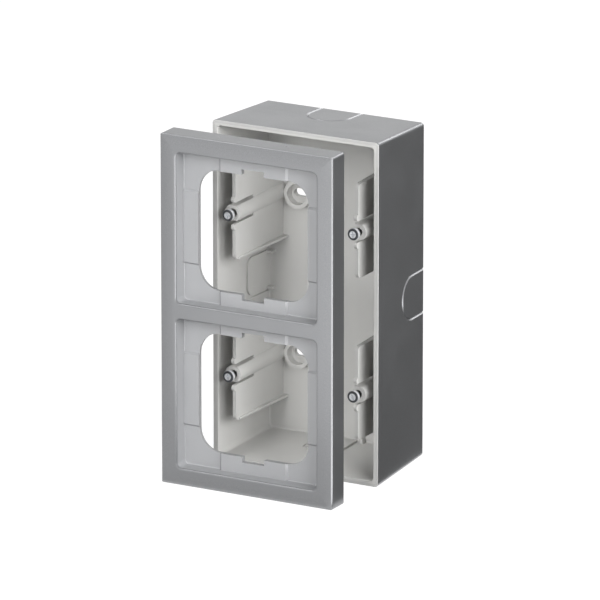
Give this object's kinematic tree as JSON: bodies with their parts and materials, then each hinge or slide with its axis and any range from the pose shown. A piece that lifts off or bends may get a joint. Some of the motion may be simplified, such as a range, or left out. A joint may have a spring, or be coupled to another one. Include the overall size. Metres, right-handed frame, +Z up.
{
  "type": "surface mount back box",
  "caption": "Upright surface mount back box for wiring devices set one above the other, with slotted wall fixings, screw posts, knock-outs and a matching cover frame shown taken off.",
  "frame": {"origin": "centre of the box's rear face, which lies on the wall", "axes": "+Y into the wall, +Z up, +X to the right for someone facing the box; the box opens towards -Y"},
  "size_m": [0.0837, 0.0815, 0.1529],
  "materials": {
    "box_plastic": "silver grey paint outside, bare light grey moulded plastic inside",
    "frame_plastic": "silver grey satin paint, lighter in the recess",
    "screw_steel": "bright zinc plate"
  },
  "bodies": {
    "root": {"back_box": "box_plastic", "cover_frame": "frame_plastic", "device_screws": "screw_steel"}
  },
  "joints": []
}
